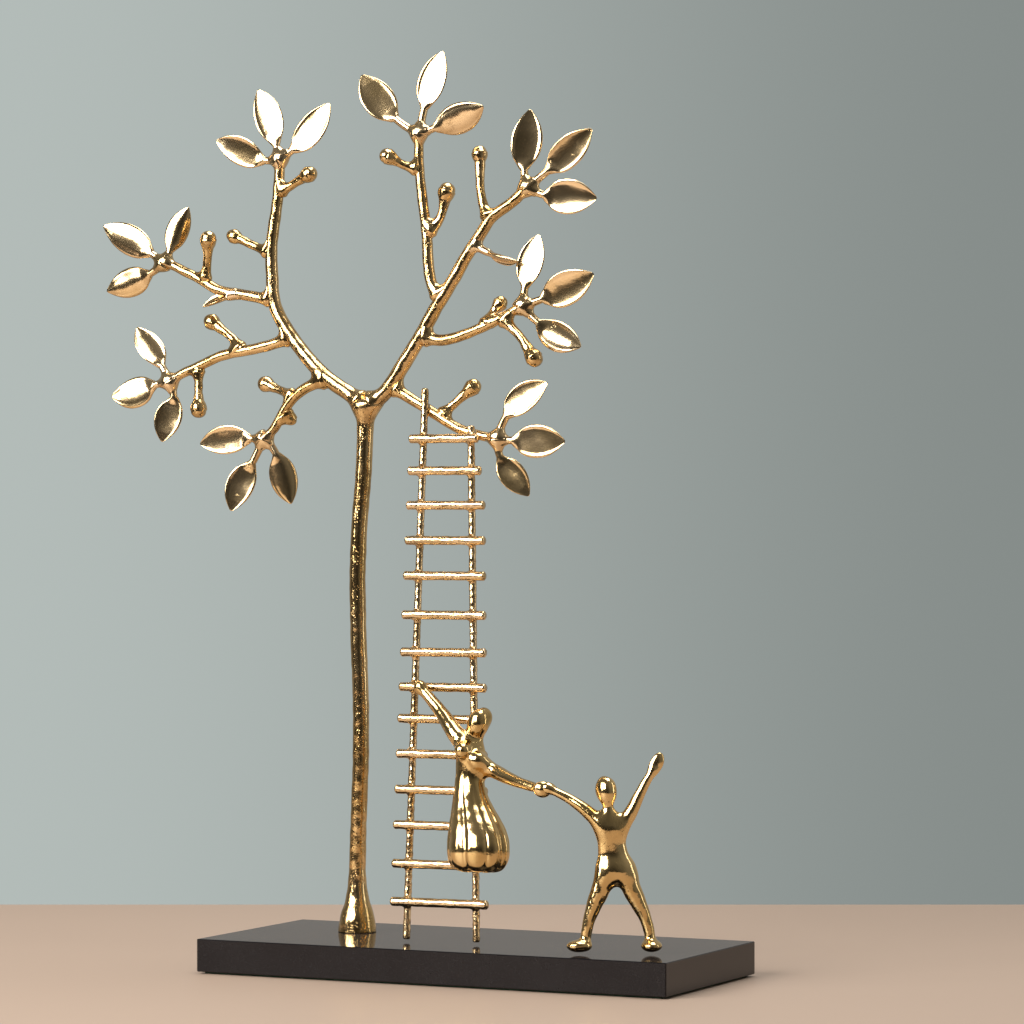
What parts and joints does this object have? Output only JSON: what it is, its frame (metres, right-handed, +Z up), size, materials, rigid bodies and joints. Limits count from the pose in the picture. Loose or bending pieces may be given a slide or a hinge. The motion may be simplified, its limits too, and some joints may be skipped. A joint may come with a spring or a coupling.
{
  "type": "brass tree sculpture with ladder and figures",
  "caption": "Cast brass tree with leaf sprays and buds, a ladder leaning on its lowest branch, a woman on the ladder holding a child's hand, on a black stone slab.",
  "frame": {"origin": "centre of the felt's underside, on the table", "axes": "+X along the slab towards the child, +Y to the rear, +Z up"},
  "size_m": [0.3416, 0.108, 0.4528],
  "materials": {
    "cast_brass": "polished casting with fine pits and brazed joints",
    "polished_brass": "mirror polished",
    "black_stone": "polished black granite",
    "felt": "matted wool felt",
    "zinc_steel": "zinc plated"
  },
  "bodies": {
    "root": {"base_slab": "black_stone", "centre_branch": "cast_brass", "centre_leaves": "polished_brass", "centre_left_bud": "cast_brass", "centre_right_bud": "cast_brass", "child": "polished_brass", "felt_sheet": "felt", "folded_leaf_left": "polished_brass", "folded_leaf_right": "polished_brass", "ladder_rail_left": "cast_brass", "ladder_rail_right": "cast_brass", "left_crown_bud": "cast_brass", "left_crown_leaves": "polished_brass", "left_high_branch": "cast_brass", "left_high_bud": "cast_brass", "left_high_leaves": "polished_brass", "left_limb": "cast_brass", "left_limb_bud": "cast_brass", "left_low_branch": "cast_brass", "left_low_bud": "cast_brass", "left_low_leaves": "polished_brass", "left_low_rear_bud": "cast_brass", "left_mid_branch": "cast_brass", "left_mid_leaves": "polished_brass", "left_mid_lower_bud": "cast_brass", "left_mid_upper_bud": "cast_brass", "right_crown_leaves": "polished_brass", "right_limb": "cast_brass", "right_limb_bud": "cast_brass", "right_low_branch": "cast_brass", "right_low_bud": "cast_brass", "right_low_leaves": "polished_brass", "right_mid_blunt_bud": "cast_brass", "right_mid_branch": "cast_brass", "right_mid_leaves": "polished_brass", "right_mid_lower_bud": "cast_brass", "rung_01": "cast_brass", "rung_02": "cast_brass", "rung_03": "cast_brass", "rung_04": "cast_brass", "rung_05": "cast_brass", "rung_06": "cast_brass", "rung_07": "cast_brass", "rung_08": "cast_brass", "rung_09": "cast_brass", "rung_10": "cast_brass", "rung_11": "cast_brass", "rung_12": "cast_brass", "rung_13": "cast_brass", "rung_14": "cast_brass", "trunk": "cast_brass", "trunk_nut": "zinc_steel", "trunk_stud": "zinc_steel", "trunk_washer": "zinc_steel", "woman_body": "polished_brass", "woman_left_arm": "polished_brass", "woman_right_arm": "polished_brass"}
  },
  "joints": []
}
